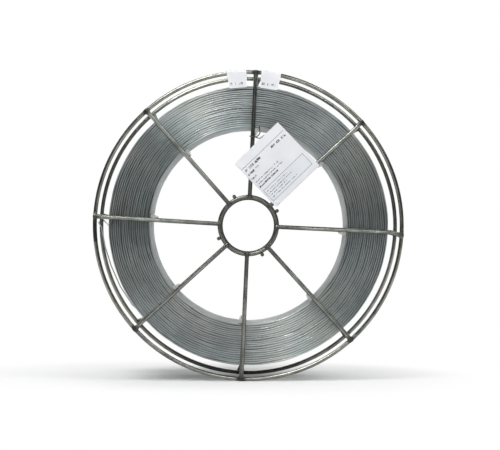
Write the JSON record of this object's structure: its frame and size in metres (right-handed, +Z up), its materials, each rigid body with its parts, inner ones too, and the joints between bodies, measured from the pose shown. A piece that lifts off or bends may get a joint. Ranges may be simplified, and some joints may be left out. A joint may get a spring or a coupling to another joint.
{
  "type": "spool of welding wire",
  "caption": "Full wire basket spool of fine solid welding wire, with ring rims, straight spokes, an open hub and a hanging label card.",
  "frame": {"origin": "on the axis of the hub bore, half way between the two flanges", "axes": "+Z up as the spool stands on its rims, +Y along the bore from the labelled front flange to the back flange, +X to the right as seen from the front"},
  "size_m": [0.3013, 0.1041, 0.3007],
  "materials": {
    "frame_steel": "bright drawn steel wire, slightly dull and oily",
    "welding_wire": "bare drawn solid wire, semi-bright",
    "label_paper": null,
    "tie_steel": "dark annealed soft wire"
  },
  "bodies": {
    "root": {"front_rim_ring": "frame_steel", "front_hub_ring": "frame_steel", "back_rim_ring": "frame_steel", "back_hub_ring": "frame_steel", "front_spoke_1": "frame_steel", "front_spoke_2": "frame_steel", "front_spoke_3": "frame_steel", "front_spoke_4": "frame_steel", "front_spoke_5": "frame_steel", "front_spoke_6": "frame_steel", "front_spoke_7": "frame_steel", "front_spoke_8": "frame_steel", "back_spoke_1": "frame_steel", "back_spoke_2": "frame_steel", "back_spoke_3": "frame_steel", "back_spoke_4": "frame_steel", "back_spoke_5": "frame_steel", "back_spoke_6": "frame_steel", "back_spoke_7": "frame_steel", "back_spoke_8": "frame_steel", "barrel_bar_1": "frame_steel", "barrel_bar_2": "frame_steel", "barrel_bar_3": "frame_steel", "barrel_bar_4": "frame_steel", "barrel_bar_5": "frame_steel", "barrel_bar_6": "frame_steel", "barrel_bar_7": "frame_steel", "barrel_bar_8": "frame_steel", "hub_rod_1": "frame_steel", "hub_rod_2": "frame_steel", "hub_rod_3": "frame_steel", "hub_rod_4": "frame_steel", "wire_coil": "welding_wire", "wire_tail": "welding_wire", "rim_tag_left": "label_paper", "rim_tag_right": "label_paper", "label_card": "label_paper", "card_tie": "tie_steel"}
  },
  "joints": []
}
